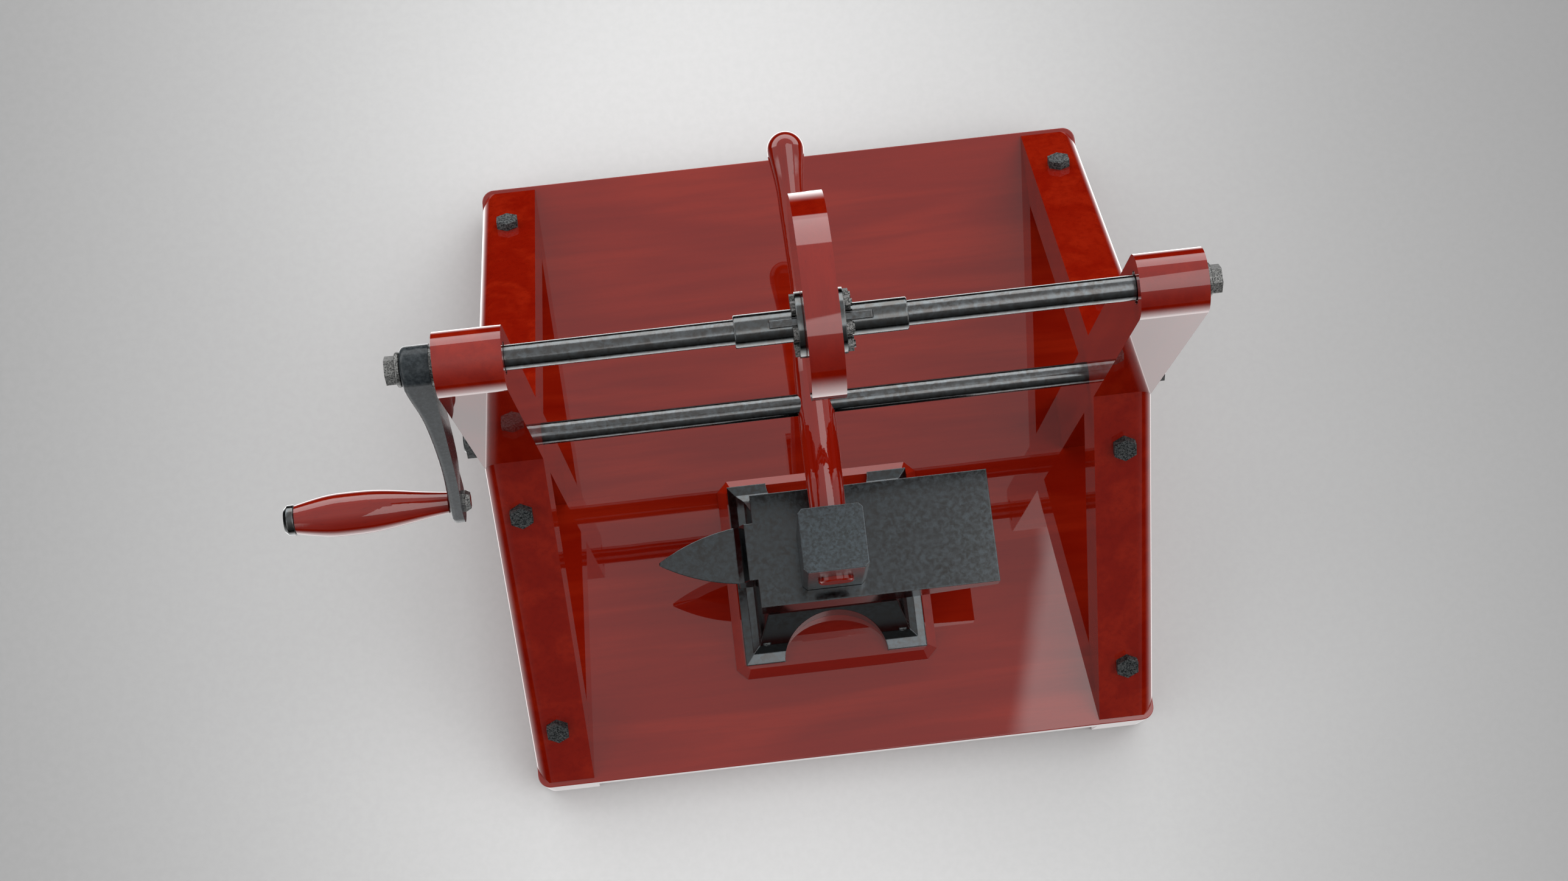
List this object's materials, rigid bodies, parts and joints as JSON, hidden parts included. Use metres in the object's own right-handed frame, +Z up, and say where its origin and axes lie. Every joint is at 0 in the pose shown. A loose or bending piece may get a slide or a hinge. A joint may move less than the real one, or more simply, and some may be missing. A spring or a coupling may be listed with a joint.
{
  "type": "hand-cranked cam hammer with anvil",
  "caption": "Table-top demonstration model: a crank turns an eccentric cam on a shaft above a pivoted hammer that rests on a small anvil, all on a square wooden base.",
  "frame": {"origin": "centre of the base's footprint, at the level of the surface that the runners stand on", "axes": "+X along the two shafts, from the crank side to the far side; +Y from the anvil side to the hammer's tail; +Z up"},
  "size_m": [0.3864, 0.3, 0.3526],
  "materials": {
    "board_varnish": "deep red stain under a clear gloss varnish, flat board",
    "timber_varnish": "deep red stain under a clear gloss varnish, planed timber",
    "cam_varnish": "deep red stain under a clear gloss varnish, sawn disc",
    "turned_varnish": "deep red stain under a clear gloss varnish, turned on a lathe",
    "anvil_iron": "dark blue-grey iron, lightly polished and mottled",
    "head_steel": "dark blue-grey steel, lightly mottled",
    "polished_shaft": "ground and polished round bar",
    "hub_steel": "turned and polished steel",
    "bush_metal": "dark turned bush",
    "crank_metal": "dark smooth cast arm",
    "zinc_fastener": "light grey zinc plating, slightly speckled",
    "dark_fastener": "dark plated steel, slightly speckled"
  },
  "bodies": {
    "frame": {"base_board": "board_varnish", "left_runner": "timber_varnish", "right_runner": "timber_varnish", "anvil_pad": "board_varnish", "anvil": "anvil_iron", "left_post": "timber_varnish", "right_post": "timber_varnish", "left_shaft_bush": "bush_metal", "right_shaft_bush": "bush_metal", "left_front_brace": "timber_varnish", "left_rear_brace": "timber_varnish", "right_front_brace": "timber_varnish", "right_rear_brace": "timber_varnish", "brace_screws": "dark_fastener", "post_screws": "dark_fastener", "runner_screws": "dark_fastener", "anvil_screws": "dark_fastener", "hammer_axle": "polished_shaft", "axle_washers": "zinc_fastener", "axle_nuts": "dark_fastener"},
    "drive": {"main_shaft": "polished_shaft", "cam_key": "dark_fastener", "crank_key": "dark_fastener", "cam": "cam_varnish", "left_hub": "hub_steel", "right_hub": "hub_steel", "hub_bolts": "zinc_fastener", "hub_nuts": "zinc_fastener", "hub_set_screws": "dark_fastener", "thrust_washer": "zinc_fastener", "end_washers": "zinc_fastener", "end_bolts": "zinc_fastener", "crank_arm": "crank_metal", "grip_spindle": "zinc_fastener", "grip_nut": "zinc_fastener"},
    "grip": {"grip": "turned_varnish"},
    "hammer": {"hammer_handle": "turned_varnish", "hammer_head": "head_steel", "head_pin": "head_steel"}
  },
  "joints": [
    {"name": "crank_turn", "type": "hinge", "parent": "frame", "child": "drive", "pos_m": [0, 0, 0.322], "axis": [1, 0, 0], "continuous": true},
    {"name": "grip_spin", "type": "hinge", "parent": "drive", "child": "grip", "pos_m": [-0.19, -0.03843, 0.22968], "axis": [1, 0, 0], "continuous": true},
    {"name": "hammer_lift", "type": "hinge", "parent": "frame", "child": "hammer", "pos_m": [0, 0, 0.158], "axis": [-1, 0, 0], "range_deg": [0, 70]}
  ]
}
